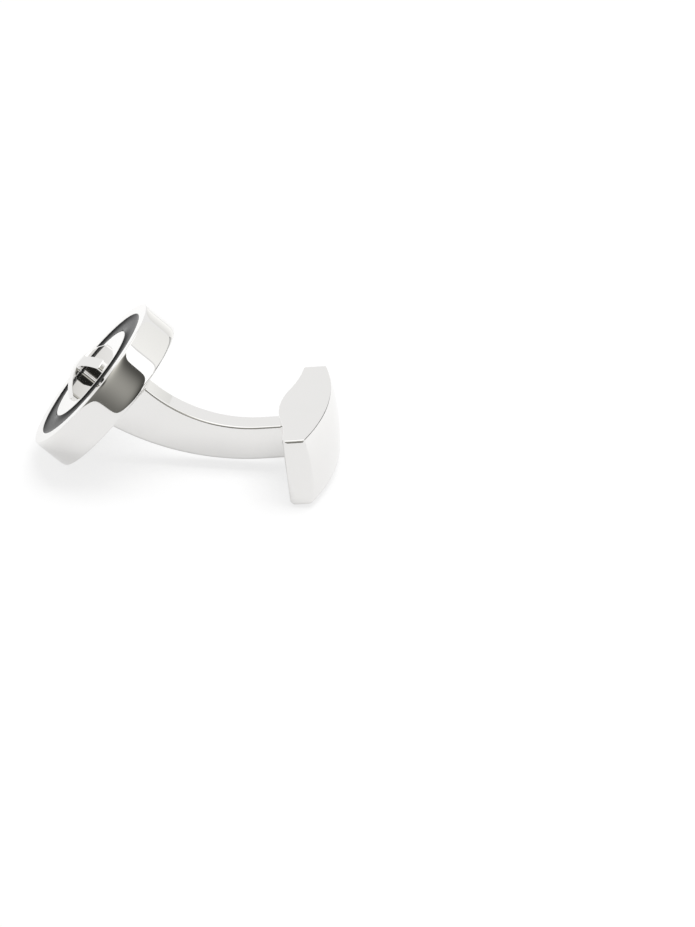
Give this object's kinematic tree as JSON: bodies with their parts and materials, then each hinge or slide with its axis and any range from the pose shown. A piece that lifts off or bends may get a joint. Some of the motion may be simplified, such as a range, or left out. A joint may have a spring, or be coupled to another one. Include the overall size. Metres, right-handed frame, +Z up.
{
  "type": "cufflink",
  "caption": "Swivel-bar cufflink: polished round face with a black enamel ring and a finned dome, a flat curved post and a boat-shaped bar that turns on a hidden pin.",
  "frame": {"origin": "on the table under the middle of the cufflink's box, with the cufflink lying as pictured on its face's back rim and the bar's lower side", "axes": "+Z up; -X towards the round face, +X towards the swivel bar; +Y along the bar, away from the picture's camera; the post bends in the plane y = 0"},
  "size_m": [0.0292, 0.017, 0.0154],
  "materials": {
    "polished_plate": "polished bright white-metal plate",
    "black_enamel": "glossy black resin enamel",
    "plain_steel": "plain turned steel, hidden inside"
  },
  "bodies": {
    "face": {"face_cup": "polished_plate", "enamel_ring": "black_enamel", "centre_plate": "polished_plate", "finned_dome": "polished_plate", "post_screw": "plain_steel", "post_foot": "polished_plate", "post": "polished_plate"},
    "toggle": {"toggle_body": "polished_plate", "toggle_cap": "polished_plate", "pivot_pin": "plain_steel", "drag_spring": "plain_steel"}
  },
  "joints": [
    {"name": "toggle_swivel", "type": "hinge", "parent": "face", "child": "toggle", "pos_m": [0.01052, 0, 0.00351], "axis": [-0.1323, 0, 0.9912], "range_deg": [-70, 70]}
  ]
}
